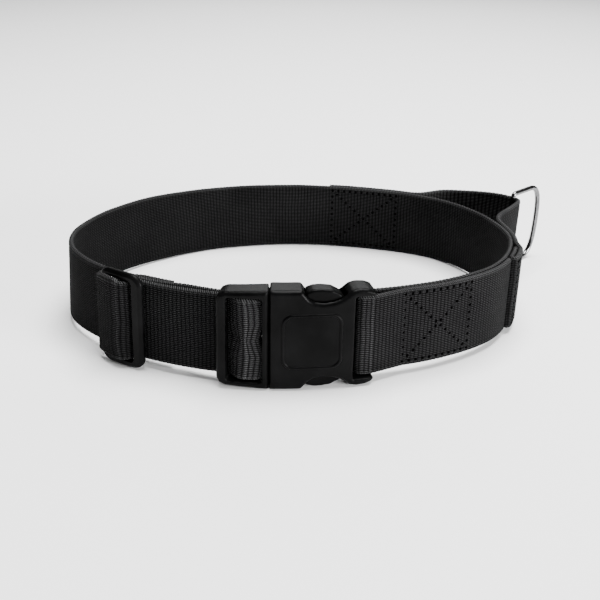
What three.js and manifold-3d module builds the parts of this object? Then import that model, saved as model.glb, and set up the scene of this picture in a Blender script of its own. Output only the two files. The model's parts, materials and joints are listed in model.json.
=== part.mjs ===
// A fastened dog collar of black nylon webbing, standing on its edge, in millimetres, +Z up.
// The neck opening faces up, the buckle is at the front (-Y) and the sewn-on handle is at the back right.
import * as THREE from "three";
import { mergeVertices } from "three/addons/utils/BufferGeometryUtils.js";
import Module from "manifold-3d";

// The loop
const LOOP_WIDTH = 233;
const LOOP_DEPTH = 165;
const WEB_WIDTH = 40;
const WEB_THICK = 2.4;
const GAP = 0.3; // clear space left between pieces, and between plies of one strap
const RAISED_TO = 0.9; // the front's share of the half depth where the webbing stands highest
const LEVEL_FROM = 0.85; // the back's share of the half depth where it stands level

// The side-release buckle, whose length runs along the strap
const BUCKLE_SHIFT = 2.5; // how far its middle lies to the right of the loop's front
const BUCKLE_LENGTH = 70;
const BUCKLE_HEIGHT = 49;
const BUCKLE_THICK = 12;
const BUCKLE_WALL = 2;
const BUCKLE_COVER = 5.2; // from the webbing's outer face up to the buckle's outer face
const MALE_LENGTH = 23; // the part of the length that stays outside the socket
const MALE_END_HEIGHT = 46.5;
const MALE_BAR = 4.5;
const MALE_MIDDLE_BAR = 3.5;
const MALE_SLOT = 6;
const EAR_LENGTH = 10;
const END_BAR = 4;
const NOTCH_START = 14; // from the seam
const NOTCH_TO_END = 13.7; // from the notch to the buckle's end
const NOTCH_DEPTH = 6;
const ARM_WIDTH = 5;
const TONGUE_WIDTH = 12;
const END_BAR_BACK = 1; // from the ear's end to the end bar
const BAR_THICK = 3.4;
const MIDDLE_BAR_THICK = 3;
const MIDDLE_BAR_SINK = 1.2; // how far that bar lies under the frame's inner face
const MALE_CORNER = 4;
const MALE_THINNER = 1.5; // how much less thick the prong half's frame is than the socket
const SHOULDER = 2.5; // how far the prong half plugs the socket's mouth
const ARM_PLAY = 0.7; // clear space at each end of a finger pad
const FOLD_SLACK = 1.7; // how loosely the webbing turns round the prong half's middle bar

// The three-bar slide
const SLIDE_PLACE = 48.5; // from the buckle's end to the slide's middle, along the strap
const SLIDE_HEIGHT = 48;
const SLIDE_THICK = 4;
const SLIDE_RIGHT_BAR = 5.2;
const SLIDE_LEFT_BAR = 3;
const SLIDE_LEFT_THICK = 1.6; // the left bar is thin, because the strap passes over it
const SLIDE_MIDDLE_BAR = 3;
const SLIDE_SLOT = 6.6;
const SLIDE_CORNER = 6;
const SLIDE_BAR_THICK = 3.5;
const SLIDE_BAR_SINK = 2.2;

// Where the sewn ends lie, along the strap
const TAIL_LENGTH = 24; // the turned-back end inside the slide
const SAG = 1.6; // how far the inner ply hangs slack between slide and buckle
const SETTLE = 30; // the length over which the webbing comes back to the loop's line
const HEM_PLACE = 85.5; // from the buckle's end to the handle's front end, where the doubled length ends
const HEM_LENGTH = 16;
const FLANK_LENGTH = 54; // the handle's stretch that lies on the right flank
const RING_PLACE = 76; // from the handle's front end to the ring, along the strap
const RING_REACH = 26; // the ring bar's distance outside the strap
const BOW_LENGTH = 50; // from the ring back to where the handle meets the strap again
const BACK_SEAM = 49; // the handle's stretch that is sewn to the back
const BOW = 0.74; // how far out the handle still is halfway along its bow
const FLANK_BEND = 12; // the handle's bend radii, where it leaves the flank, along its bow and at the back
const BOW_BEND = 13;
const BACK_BEND = 12;

// The D-ring
const RING_HEIGHT = 48;
const RING_DEPTH = 29.5;
const RING_WIRE = 3;
const RING_TURN = 14; // degrees from the way straight out of the strap towards the back
const RING_CORNER = 2.1;

const PLY = WEB_THICK + GAP;
const REACH = WEB_THICK / 2 + GAP; // from a bar's face to the middle of the webbing on it
const INSIDE = -PLY / 2;
const OUTSIDE = PLY / 2;
const BAR_FACE = OUTSIDE + REACH;
const EDGE_GAP = GAP + 0.45;
const NOTCH_LENGTH = BUCKLE_LENGTH - MALE_LENGTH - NOTCH_START - NOTCH_TO_END;
const WINDOW = WEB_WIDTH + 2 * EDGE_GAP;
const LIFT = (BUCKLE_HEIGHT - WEB_WIDTH) / 2; // the buckle's lower edge and the back's stand level
const RING_LIFT = RING_WIRE + GAP;
const FRONT_MIDDLE = LIFT + WEB_WIDTH / 2;

// The loop's plan, as shares of half its width and half its depth, going round from the front.
// The webbing leans: its lower edge lies further out than its upper edge by a share of its width.
const LOOP = [
  { across: 0, back: -0.945, lean: 0.04 },
  { across: 0.332, back: -0.87, lean: 0.03 },
  { across: 0.631, back: -0.715, lean: 0.03 },
  { across: 0.85, back: -0.49, lean: 0.03 },
  { across: 0.967, back: -0.191, lean: 0.02 },
  { across: 0.997, back: 0.097, lean: 0 },
  { across: 0.917, back: 0.521, lean: 0.04 },
  { across: 0.738, back: 0.827, lean: 0.06 },
  { across: 0.432, back: 0.998, lean: 0.03 },
  { across: 0, back: 1.07, lean: 0 },
  { across: -0.428, back: 0.958, lean: -0.05 },
  { across: -0.702, back: 0.745, lean: -0.08 },
  { across: -0.892, back: 0.455, lean: -0.02 },
  { across: -1.014, back: 0.036, lean: 0.08 },
  { across: -0.972, back: -0.31, lean: 0.09 },
  { across: -0.784, back: -0.612, lean: 0.06 },
  { across: -0.532, back: -0.82, lean: 0.05 },
  { across: -0.258, back: -0.93, lean: 0.05 },
];

const guide = new THREE.CatmullRomCurve3(
  LOOP.map((p) => new THREE.Vector3((p.across * LOOP_WIDTH) / 2, (p.back * LOOP_DEPTH) / 2, 0)),
  true,
  "centripetal",
);
guide.arcLengthDivisions = 2000;
const LENGTH = guide.getLength();

// The plan point that lies `along` the loop from its front, and `out` from the guide line.
function spot(along, out) {
  const share = (((along / LENGTH) % 1) + 1) % 1;
  const p = guide.getPointAt(share);
  const t = guide.getTangentAt(share);
  return new THREE.Vector2(p.x + t.y * out, p.y - t.x * out);
}

const BUCKLE_START = BUCKLE_SHIFT - BUCKLE_LENGTH / 2;
const SEAM = BUCKLE_START + MALE_LENGTH;
const BUCKLE_END = BUCKLE_START + BUCKLE_LENGTH;
const BUCKLE_OUT = BAR_FACE + BUCKLE_COVER;
const BUCKLE_IN = BUCKLE_OUT - BUCKLE_THICK;
const SLIDE_MIDDLE = BUCKLE_START - SLIDE_PLACE;
const HEM = BUCKLE_END + HEM_PLACE;
const RING_ALONG = HEM + RING_PLACE;
const BOW_END = RING_ALONG + BOW_LENGTH;

// A belt's line round pegs, in (along, out): rows of {along, out, turn}. A turn is the radius that
// the line keeps from the peg, positive where it turns left; a peg with no turn is a point.
function belt(pegs) {
  const line = [];
  const spans = pegs.slice(1).map((peg, i) => span(pegs[i], peg));
  pegs.forEach((peg, i) => {
    const turn = peg.turn ?? 0;
    const arrive = spans[i - 1]?.side ?? spans[i].side;
    const leave = spans[i]?.side ?? arrive;
    let swing = leave.angleTo(arrive) * Math.sign(arrive.cross(leave));
    if (turn * swing < 0) swing += 2 * Math.PI * Math.sign(turn);
    const steps = turn ? Math.max(1, Math.ceil(Math.abs(swing) / (Math.PI / 7))) : 0;
    for (let k = 0; k <= steps; k++) {
      const spoke = arrive.clone().rotateAround(new THREE.Vector2(), (swing * k) / (steps || 1));
      line.push(new THREE.Vector2(peg.along, peg.out).addScaledVector(spoke, -turn));
    }
  });
  return line;
}

// The left-hand direction of the straight run between two pegs.
function span(from, to) {
  const way = new THREE.Vector2(to.along - from.along, to.out - from.out);
  const open = Math.acos(((to.turn ?? 0) - (from.turn ?? 0)) / way.length());
  return { side: way.normalize().rotateAround(new THREE.Vector2(), open) };
}

// A belt's line laid round the loop, in plan.
function laid(pegs) {
  const STEP = 6;
  const line = belt(pegs);
  const made = [];
  line.forEach((p, i) => {
    const last = line[i - 1] ?? p;
    if (i && p.distanceTo(last) < 0.05) return;
    const count = Math.max(1, Math.ceil(p.distanceTo(last) / STEP));
    for (let k = i ? 1 : count; k <= count; k++) {
      const q = last.clone().lerp(p, k / count);
      made.push(spot(q.x, q.y));
    }
  });
  return made;
}

// How high the webbing's lower edge stands at a plan point: level at the back, raised at the front.
function lift(y) {
  const level = (LEVEL_FROM * LOOP_DEPTH) / 2;
  const front = (-RAISED_TO * LOOP_DEPTH) / 2;
  return LIFT * THREE.MathUtils.clamp((level - y) / (level - front), 0, 1);
}

// The lean at a plan point, from the loop's rows on either side of its bearing.
function leanAt(x, y) {
  const bearing = (row) => Math.atan2(row.across, -row.back);
  const here = Math.atan2((2 * x) / LOOP_WIDTH, (-2 * y) / LOOP_DEPTH);
  const rows = LOOP.map((row) => ({ bearing: bearing(row), lean: row.lean }));
  rows.sort((a, b) => a.bearing - b.bearing);
  const after = rows.findIndex((row) => row.bearing > here);
  const b = rows[after < 0 ? 0 : after];
  const a = rows[(after < 0 ? rows.length : after) - 1] ?? rows[rows.length - 1];
  const turn = (from, to) => (to - from + 4 * Math.PI) % (2 * Math.PI);
  const share = turn(a.bearing, here) / turn(a.bearing, b.bearing);
  return THREE.MathUtils.lerp(a.lean, b.lean, THREE.MathUtils.smoothstep(share, 0, 1));
}

// Leans a finished piece with the webbing that it is on, by a share that may change over the plan.
function leaned(geometry, share = () => 1) {
  const place = geometry.getAttribute("position");
  for (let i = 0; i < place.count; i++) {
    const x = place.getX(i);
    const y = place.getY(i);
    const low = lift(y) + WEB_WIDTH / 2 - place.getZ(i);
    const way = new THREE.Vector2(x / LOOP_WIDTH, y / LOOP_DEPTH).normalize();
    const push = low * leanAt(x, y) * share(x, y);
    place.setX(i, x + way.x * push);
    place.setY(i, y + way.y * push);
  }
  geometry.computeVertexNormals();
  return geometry;
}

// A strip of webbing on edge along a plan route.
function webbing(line, raise, leanShare) {
  const sides = [1, -1].map((side) =>
    line.map((p, i) => {
      const a = line[Math.max(i - 1, 0)];
      const b = line[i + 1] ?? p;
      const before = p.clone().sub(a).normalize();
      const after = b.clone().sub(p).normalize();
      const way = before.add(after).normalize();
      const corner = i && i < line.length - 1 ? way.dot(after) : 1;
      const half = (side * WEB_THICK) / 2 / corner;
      return new THREE.Vector2(p.x - way.y * half, p.y + way.x * half);
    }),
  );
  const outline = new THREE.Shape([...sides[1], ...sides[0].reverse()]);
  const strip = new THREE.ExtrudeGeometry(outline, { depth: WEB_WIDTH, bevelEnabled: false });
  const place = strip.getAttribute("position");
  for (let i = 0; i < place.count; i++) {
    place.setZ(i, place.getZ(i) + raise(place.getX(i), place.getY(i)));
  }
  return leaned(strip, leanShare);
}

const wasm = await Module();
wasm.setup();

function solid(geometry) {
  const bare = geometry.clone();
  bare.deleteAttribute("normal");
  bare.deleteAttribute("uv");
  const merged = mergeVertices(bare, 1e-4);
  return new wasm.Manifold(
    new wasm.Mesh({
      numProp: 3,
      vertProperties: new Float32Array(merged.getAttribute("position").array),
      triVerts: new Uint32Array(merged.index.array),
    }),
  );
}

// Cuts a triangle mesh at even steps of x, so that it can be bent.
function sliced(soup, step) {
  let faces = soup;
  const xs = faces.flat().map((v) => v[0]);
  const low = Math.min(...xs);
  const high = Math.max(...xs);
  const count = Math.max(1, Math.ceil((high - low) / step));
  for (let k = 1; k < count; k++) {
    const cut = low + ((high - low) * k) / count;
    const next = [];
    for (const face of faces) next.push(...cutFace(face, cut));
    faces = next;
  }
  return faces;
}

function cutFace(face, cut) {
  const sides = face.map((v) => (Math.abs(v[0] - cut) < 1e-4 ? 0 : Math.sign(v[0] - cut)));
  if (!sides.includes(1) || !sides.includes(-1)) return [face];
  const ring = [];
  face.forEach((v, i) => {
    const j = (i + 1) % 3;
    ring.push({ v, side: sides[i] });
    if (sides[i] * sides[j] < 0) ring.push({ v: crossing(v, face[j], cut), side: 0 });
  });
  const fans = [1, -1].map((side) => ring.filter((p) => p.side !== -side).map((p) => p.v));
  return fans.flatMap((fan) => fan.slice(2).map((v, i) => [fan[0], fan[i + 1], v]));
}

// The point where an edge meets the cut, the same from both of the edge's faces.
function crossing(a, b, cut) {
  const [p, q] = a[0] < b[0] ? [a, b] : [b, a];
  const share = (cut - p[0]) / (q[0] - p[0]);
  return [cut, p[1] + (q[1] - p[1]) * share, p[2] + (q[2] - p[2]) * share];
}

// Bends a solid drawn flat, as (along, up, out), round the loop, and gives its mesh.
function bent(flat, up) {
  const mesh = flat.getMesh();
  const corner = (i) => Array.from(mesh.vertProperties.slice(mesh.numProp * i, mesh.numProp * i + 3));
  const soup = [];
  for (let i = 0; i < mesh.triVerts.length; i += 3) {
    soup.push([0, 1, 2].map((k) => corner(mesh.triVerts[i + k])));
  }
  const numbers = sliced(soup, 8)
    .flat()
    .flatMap(([along, high, out]) => {
      const p = spot(along, out);
      return [p.x, p.y, up + high];
    });
  const geometry = new THREE.BufferGeometry();
  geometry.setAttribute("position", new THREE.Float32BufferAttribute(numbers, 3));
  return leaned(geometry);
}

// A flat plate of an outline in (along, up), from one distance out to another, with eased edges.
function plate(shape, inner, outer, ease) {
  const options = { depth: outer - inner, bevelEnabled: false, curveSegments: 6 };
  if (ease) {
    options.depth -= 2 * ease;
    options.bevelEnabled = true;
    options.bevelSegments = 1;
    options.bevelThickness = ease;
    options.bevelSize = ease;
    options.bevelOffset = -ease;
  }
  const made = new THREE.ExtrudeGeometry(shape, options);
  made.translate(0, 0, inner + (ease ?? 0));
  return solid(made);
}

function boxShape(left, right, low, high, radius = 0) {
  const shape = new THREE.Shape();
  if (!radius) {
    shape.setFromPoints([
      new THREE.Vector2(left, low),
      new THREE.Vector2(right, low),
      new THREE.Vector2(right, high),
      new THREE.Vector2(left, high),
    ]);
    return shape;
  }
  shape.moveTo(left + radius, low);
  shape.lineTo(right - radius, low);
  shape.absarc(right - radius, low + radius, radius, -Math.PI / 2, 0);
  shape.lineTo(right, high - radius);
  shape.absarc(right - radius, high - radius, radius, 0, Math.PI / 2);
  shape.lineTo(left + radius, high);
  shape.absarc(left + radius, high - radius, radius, Math.PI / 2, Math.PI);
  shape.lineTo(left, low + radius);
  shape.absarc(left + radius, low + radius, radius, Math.PI, 1.5 * Math.PI);
  return shape;
}

// A closed outline from its upper half, mirrored in the middle line.
function mirrored(upper) {
  const lower = upper.map((p) => new THREE.Vector2(p.x, -p.y)).reverse();
  return new THREE.Shape([...lower, ...upper].reverse());
}

// The buckle
const OUTER_EASE = 1.2;
const BAR_EASE = 0.6;
const MIDDLE_BAR_IN = BAR_FACE - MIDDLE_BAR_SINK;
const MIDDLE_BAR_OUT = MIDDLE_BAR_IN + MIDDLE_BAR_THICK;
const BAR_HIGH = WINDOW / 2 + 1.5; // half a bar's length, into the frame at both ends
const END_BAR_IN = 0;
const END_BAR_OUT = END_BAR_IN + BAR_THICK;
const CAVITY_END = BUCKLE_END - EAR_LENGTH - BUCKLE_WALL - 1;
const CAVITY_TOP = BUCKLE_HEIGHT / 2 - BUCKLE_WALL;
const NOTCH_LOW = BUCKLE_HEIGHT / 2 - NOTCH_DEPTH;

// The notch in the socket's edge, as shares of its length and its depth.
const NOTCH = [
  { share: 0, deep: 0 },
  { share: 0.06, deep: 0.25 },
  { share: 0.16, deep: 0.66 },
  { share: 0.28, deep: 0.9 },
  { share: 0.47, deep: 1 },
  { share: 0.7, deep: 0.92 },
  { share: 0.87, deep: 0.74 },
  { share: 1, deep: 0.46 },
];

// The ear beyond the notch, as shares of the rest of the length and of the notch's depth.
const EAR = [
  { share: 0.16, deep: 0.15 },
  { share: 0.38, deep: 0.02 },
  { share: 0.7, deep: 0.07 },
  { share: 0.92, deep: 0.27 },
  { share: 1, deep: 0.6 },
];

function socketOutline() {
  const top = BUCKLE_HEIGHT / 2;
  const start = SEAM + NOTCH_START;
  const end = start + NOTCH_LENGTH;
  const upper = [new THREE.Vector2(SEAM, top)];
  for (const row of NOTCH) {
    upper.push(new THREE.Vector2(start + row.share * NOTCH_LENGTH, top - row.deep * NOTCH_DEPTH));
  }
  for (const row of EAR) {
    upper.push(new THREE.Vector2(end + row.share * (BUCKLE_END - end), top - row.deep * NOTCH_DEPTH));
  }
  return mirrored(upper);
}

function makeSocket() {
  const body = plate(socketOutline(), BUCKLE_IN, BUCKLE_OUT, OUTER_EASE);
  const room = boxShape(SEAM - 5, CAVITY_END, -CAVITY_TOP, CAVITY_TOP);
  const cavity = plate(room, BUCKLE_IN + BUCKLE_WALL, BUCKLE_OUT - BUCKLE_WALL);
  const gateShape = boxShape(BUCKLE_END - EAR_LENGTH, BUCKLE_END + 5, -WINDOW / 2, WINDOW / 2);
  const gate = plate(gateShape, BUCKLE_IN - 5, BUCKLE_OUT + 5);
  const barEnd = BUCKLE_END - END_BAR_BACK;
  const barShape = boxShape(barEnd - END_BAR, barEnd, -BAR_HIGH, BAR_HIGH);
  const bar = plate(barShape, END_BAR_IN, END_BAR_OUT, BAR_EASE);
  return bent(body.subtract(cavity).subtract(gate).add(bar), FRONT_MIDDLE);
}

// The prong half: a window frame, a flange, a tongue and two sprung arms with finger pads.
const PAD = [
  { share: 0, high: 0.42 },
  { share: 0.08, high: 0.8 },
  { share: 0.24, high: 0.98 },
  { share: 0.46, high: 1 },
  { share: 0.7, high: 0.9 },
  { share: 0.9, high: 0.56 },
  { share: 1, high: 0.3 },
];

function armOutline() {
  const root = SEAM - 1;
  const low = NOTCH_LOW - ARM_WIDTH;
  const start = SEAM + NOTCH_START + ARM_PLAY;
  const length = NOTCH_LENGTH - 2 * ARM_PLAY;
  const rise = BUCKLE_HEIGHT / 2 - NOTCH_LOW;
  const points = [new THREE.Vector2(root, low), new THREE.Vector2(start + length, low)];
  for (const row of [...PAD].reverse()) {
    points.push(new THREE.Vector2(start + row.share * length, NOTCH_LOW + row.high * rise - 0.2));
  }
  points.push(new THREE.Vector2(root, NOTCH_LOW));
  return points;
}

function makeProngs() {
  const left = BUCKLE_START;
  const flange = SEAM - GAP;
  const top = BUCKLE_HEIGHT / 2;
  const end = MALE_END_HEIGHT / 2;
  const corner = MALE_CORNER;
  const upper = [
    new THREE.Vector2(left, end - corner),
    new THREE.Vector2(left + 0.3 * corner, end - 0.3 * corner),
    new THREE.Vector2(left + corner, end),
    new THREE.Vector2(flange, top),
  ];
  const frameIn = BUCKLE_IN + MALE_THINNER;
  const frame = plate(mirrored(upper), frameIn, BUCKLE_OUT, OUTER_EASE);
  const windowEnd = left + MALE_BAR + 2 * MALE_SLOT + MALE_MIDDLE_BAR;
  const windowShape = boxShape(left + MALE_BAR, windowEnd, -WINDOW / 2, WINDOW / 2, 1.5);
  const hole = plate(windowShape, frameIn - 1, BUCKLE_OUT + 1);
  const passage = boxShape(left - 1, windowEnd, -WINDOW / 2, WINDOW / 2);
  const under = plate(passage, frameIn - 1, BAR_FACE);
  const barLeft = left + MALE_BAR + MALE_SLOT;
  const barShape = boxShape(barLeft, barLeft + MALE_MIDDLE_BAR, -BAR_HIGH, BAR_HIGH);
  const bar = plate(barShape, MIDDLE_BAR_IN, MIDDLE_BAR_OUT, BAR_EASE);
  const insertIn = BUCKLE_IN + BUCKLE_WALL + GAP;
  const insertOut = BUCKLE_OUT - BUCKLE_WALL - GAP;
  const tongueEnd = CAVITY_END - 8;
  const tongueShape = boxShape(SEAM - 1, tongueEnd, -TONGUE_WIDTH / 2, TONGUE_WIDTH / 2, 0.9);
  const tongue = plate(tongueShape, insertIn, insertOut);
  const plugHigh = CAVITY_TOP - GAP;
  const plugShape = boxShape(flange - 0.5, SEAM + SHOULDER, -plugHigh, plugHigh);
  const plug = plate(plugShape, insertIn, insertOut);
  const arm = armOutline();
  const upperArm = plate(new THREE.Shape(arm), insertIn, insertOut, BAR_EASE);
  const lowerShape = new THREE.Shape(arm.map((p) => new THREE.Vector2(p.x, -p.y)).reverse());
  const lowerArm = plate(lowerShape, insertIn, insertOut, BAR_EASE);
  const held = frame.subtract(hole).subtract(under).add(bar);
  return bent(held.add(plug).add(tongue).add(upperArm).add(lowerArm), FRONT_MIDDLE);
}

// The slide
const SLIDE_BAR_IN = BAR_FACE - SLIDE_BAR_SINK;
const SLIDE_BAR_OUT = SLIDE_BAR_IN + SLIDE_BAR_THICK;
const SLIDE_HALF = SLIDE_MIDDLE_BAR / 2;
const LEFT_BAR_OUT = BAR_FACE + SLIDE_LEFT_THICK;

function makeSlide() {
  const left = SLIDE_MIDDLE - SLIDE_HALF - SLIDE_SLOT - SLIDE_LEFT_BAR;
  const right = SLIDE_MIDDLE + SLIDE_HALF + SLIDE_SLOT + SLIDE_RIGHT_BAR;
  const high = SLIDE_HEIGHT / 2;
  const frameShape = boxShape(left, right, -high, high, SLIDE_CORNER);
  const holeShape = boxShape(
    left + SLIDE_LEFT_BAR,
    right - SLIDE_RIGHT_BAR,
    -WINDOW / 2,
    WINDOW / 2,
    1.5,
  );
  const frame = plate(frameShape, BAR_FACE, BAR_FACE + SLIDE_THICK, OUTER_EASE);
  const hole = plate(holeShape, BAR_FACE - 1, BAR_FACE + SLIDE_THICK + 1);
  const barShape = boxShape(SLIDE_MIDDLE - SLIDE_HALF, SLIDE_MIDDLE + SLIDE_HALF, -BAR_HIGH, BAR_HIGH);
  const bar = plate(barShape, SLIDE_BAR_IN, SLIDE_BAR_OUT, BAR_EASE);
  const laneShape = boxShape(left - 1, left + SLIDE_LEFT_BAR + 1, -WINDOW / 2, WINDOW / 2);
  const lane = plate(laneShape, LEFT_BAR_OUT, BAR_FACE + SLIDE_THICK + 1);
  const seat = lift(spot(SLIDE_MIDDLE, 0).y) + WEB_WIDTH / 2;
  return bent(frame.subtract(hole).subtract(lane).add(bar), seat);
}

// The straps
function mainRoute() {
  const s = SLIDE_MIDDLE;
  const start = BUCKLE_START;
  const half = SLIDE_MIDDLE_BAR / 2;
  const slot = half + SLIDE_SLOT;
  const turn = REACH + PLY; // round a bar that already has a ply on it
  const maleBar = start + MALE_BAR + MALE_SLOT;
  const maleFold = maleBar + MALE_MIDDLE_BAR + FOLD_SLACK;
  const last = BUCKLE_END - LENGTH;
  const endBar = last - END_BAR_BACK - END_BAR;
  const foldMiddle = (MIDDLE_BAR_IN + MIDDLE_BAR_OUT) / 2;
  const endMiddle = (END_BAR_IN + END_BAR_OUT) / 2;
  return laid([
    { along: s + TAIL_LENGTH, out: INSIDE - PLY },
    { along: s + slot, out: INSIDE - PLY + turn, turn: -turn },
    { along: s - half, out: SLIDE_BAR_IN, turn: -REACH },
    { along: s - half, out: SLIDE_BAR_OUT, turn: -REACH },
    { along: s + half, out: SLIDE_BAR_OUT, turn: -REACH },
    { along: s + slot, out: BAR_FACE, turn: turn },
    { along: (s + start) / 2 + SLIDE_SLOT, out: INSIDE - SAG },
    { along: start, out: INSIDE },
    { along: maleBar, out: MIDDLE_BAR_IN - REACH },
    { along: maleFold, out: foldMiddle, turn: MIDDLE_BAR_OUT - foldMiddle + REACH },
    { along: maleBar, out: MIDDLE_BAR_OUT, turn: REACH },
    { along: start + MALE_BAR, out: BAR_FACE, turn: -REACH },
    { along: s + slot, out: BAR_FACE, turn: -REACH },
    { along: s + half, out: SLIDE_BAR_OUT, turn: turn },
    { along: s - half, out: SLIDE_BAR_OUT, turn: turn },
    { along: s - slot - SLIDE_LEFT_BAR, out: LEFT_BAR_OUT, turn: REACH },
    { along: s - slot - SLIDE_LEFT_BAR - 2 * REACH - GAP, out: INSIDE + REACH, turn: -REACH },
    { along: last + SETTLE / 2, out: INSIDE },
    { along: endBar, out: endMiddle, turn: END_BAR_IN - endMiddle - REACH },
    { along: last - END_BAR_BACK, out: END_BAR_OUT, turn: -REACH },
    { along: last + SETTLE / 2, out: OUTSIDE },
    { along: last + HEM_PLACE - 5 * GAP, out: OUTSIDE },
  ]);
}

const ringBar = spot(RING_ALONG, RING_REACH);

function handleRoute() {
  const fold = RING_WIRE / 2 + REACH;
  const high = BOW * RING_REACH;
  const fall = high - OUTSIDE;
  const room = ((BOW_LENGTH / 2) ** 2 + fall ** 2) / (2 * fall); // the most that the two bends can share
  const bends = Math.min(1, (0.9 * room) / (BOW_BEND + BACK_BEND));
  const bowBend = bends * BOW_BEND;
  const backBend = bends * BACK_BEND;
  return laid([
    { along: HEM + HEM_LENGTH, out: OUTSIDE },
    { along: HEM + WEB_THICK, out: OUTSIDE + PLY / 2, turn: -PLY / 2 },
    { along: HEM + HEM_LENGTH + 2 * GAP, out: OUTSIDE + PLY },
    { along: HEM + HEM_LENGTH + 3 * PLY, out: OUTSIDE },
    { along: HEM + FLANK_LENGTH, out: OUTSIDE + FLANK_BEND, turn: FLANK_BEND },
    { along: RING_ALONG, out: RING_REACH, turn: -fold },
    { along: RING_ALONG + 0.5 * BOW_LENGTH, out: high - bowBend, turn: -bowBend },
    { along: BOW_END, out: OUTSIDE + backBend, turn: backBend },
    { along: BOW_END + BACK_SEAM, out: OUTSIDE },
  ]);
}

// How near a plan point is to the ring, from 0 to 1.
function nearRing(x, y) {
  const away = Math.hypot(x - ringBar.x, y - ringBar.y) / BOW_LENGTH;
  return 1 - THREE.MathUtils.smoothstep(away, 0.1, 1);
}

// The handle rises towards the ring, whose lower leg lies under the webbing.
function handleLift(x, y) {
  return THREE.MathUtils.lerp(lift(y), RING_LIFT + EDGE_GAP - GAP, nearRing(x, y));
}

// The D-ring
function makeRing() {
  const r = RING_WIRE / 2;
  const half = RING_HEIGHT / 2 - r;
  const corner = RING_CORNER;
  const depth = RING_DEPTH - r;
  const bend = half * 0.82;
  const join = 1;
  const line = new THREE.CurvePath();
  const at = (out, up) => new THREE.Vector3(out, 0, up);
  line.add(new THREE.LineCurve3(at(0, join), at(0, half - corner)));
  line.add(new THREE.QuadraticBezierCurve3(at(0, half - corner), at(0, half), at(corner, half)));
  line.add(new THREE.LineCurve3(at(corner, half), at(depth - bend * 0.6, half)));
  line.add(
    new THREE.CubicBezierCurve3(
      at(depth - bend * 0.6, half),
      at(depth - bend * 0.1, half),
      at(depth, half * 0.62),
      at(depth, 0),
    ),
  );
  line.add(
    new THREE.CubicBezierCurve3(
      at(depth, 0),
      at(depth, -half * 0.62),
      at(depth - bend * 0.1, -half),
      at(depth - bend * 0.6, -half),
    ),
  );
  line.add(new THREE.LineCurve3(at(depth - bend * 0.6, -half), at(corner, -half)));
  line.add(new THREE.QuadraticBezierCurve3(at(corner, -half), at(0, -half), at(0, corner - half)));
  line.add(new THREE.LineCurve3(at(0, corner - half), at(0, -join)));
  const section = new THREE.Shape();
  section.absarc(0, 0, r, 0, 2 * Math.PI);
  const wire = new THREE.ExtrudeGeometry(section, { steps: 44, extrudePath: line, curveSegments: 5 });
  const weld = new THREE.CylinderGeometry(r + 0.1, r + 0.1, 4 * join, 10);
  weld.rotateX(Math.PI / 2);
  const mesh = solid(wire).add(solid(weld)).getMesh();
  const geometry = new THREE.BufferGeometry();
  geometry.setAttribute("position", new THREE.BufferAttribute(mesh.vertProperties, 3));
  geometry.setIndex(new THREE.BufferAttribute(mesh.triVerts, 1));
  geometry.computeVertexNormals();
  return geometry;
}

const nylon = { color: 0x1b1b1c, roughness: 0.85, metalness: 0 };
const plastic = { color: 0x151516, roughness: 0.45, metalness: 0 };
const steel = { color: 0xc9c9cb, roughness: 0.18, metalness: 1 };

function piece(name, geometry, look) {
  const mesh = new THREE.Mesh(geometry, new THREE.MeshStandardMaterial(look));
  mesh.name = name;
  return mesh;
}

const collar = new THREE.Group();
collar.add(piece("main_strap", webbing(mainRoute(), (x, y) => lift(y)), nylon));
const handle = webbing(handleRoute(), handleLift, (x, y) => 1 - nearRing(x, y));
collar.add(piece("handle_strap", handle, nylon));
collar.add(piece("buckle_female", makeSocket(), plastic));
collar.add(piece("buckle_male", makeProngs(), plastic));
collar.add(piece("slide", makeSlide(), plastic));

const ring = piece("d_ring", makeRing(), steel);
const outward = ringBar.clone().sub(spot(RING_ALONG, 0)).angle();
ring.rotation.z = outward + THREE.MathUtils.degToRad(RING_TURN);
ring.position.set(ringBar.x, ringBar.y, RING_HEIGHT / 2);
collar.add(ring);

// The origin is under the middle of the whole collar's box, level with what it stands on.
const box = new THREE.Box3().setFromObject(collar, true);
const middle = box.getCenter(new THREE.Vector3());
collar.position.set(-middle.x, -middle.y, -box.min.z);

export default collar;
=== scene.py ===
"""A fastened dog collar of black woven nylon, standing on its edge on a pale floor."""
import json
import math

import bmesh
import bpy
import numpy as np
from mathutils import Matrix, Vector


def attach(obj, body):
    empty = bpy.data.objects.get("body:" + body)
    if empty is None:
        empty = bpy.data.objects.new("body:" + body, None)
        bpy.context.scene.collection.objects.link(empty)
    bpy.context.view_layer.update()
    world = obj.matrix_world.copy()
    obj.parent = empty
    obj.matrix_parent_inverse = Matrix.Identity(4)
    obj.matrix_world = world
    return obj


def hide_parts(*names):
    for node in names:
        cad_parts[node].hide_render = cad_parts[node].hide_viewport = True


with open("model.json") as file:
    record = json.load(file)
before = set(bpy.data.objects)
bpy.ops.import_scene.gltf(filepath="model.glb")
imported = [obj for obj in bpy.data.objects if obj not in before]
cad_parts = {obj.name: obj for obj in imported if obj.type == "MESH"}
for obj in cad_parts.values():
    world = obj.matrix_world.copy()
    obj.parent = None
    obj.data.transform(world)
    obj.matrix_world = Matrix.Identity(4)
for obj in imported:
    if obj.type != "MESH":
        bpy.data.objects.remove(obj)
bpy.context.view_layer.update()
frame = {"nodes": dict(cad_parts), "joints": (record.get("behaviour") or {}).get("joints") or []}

MM = 0.001

# The straps follow the same plan as the CAD model, in millimetres.
LOOP_WIDTH = 233
LOOP_DEPTH = 165
WEB_WIDTH = 40
WEB_THICK = 2.4
GAP = 0.3  # clear space left between pieces, and between plies of one strap
RAISED_TO = 0.9  # the front's share of the half depth where the webbing stands highest
LEVEL_FROM = 0.85  # the back's share of the half depth where it stands level

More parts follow.
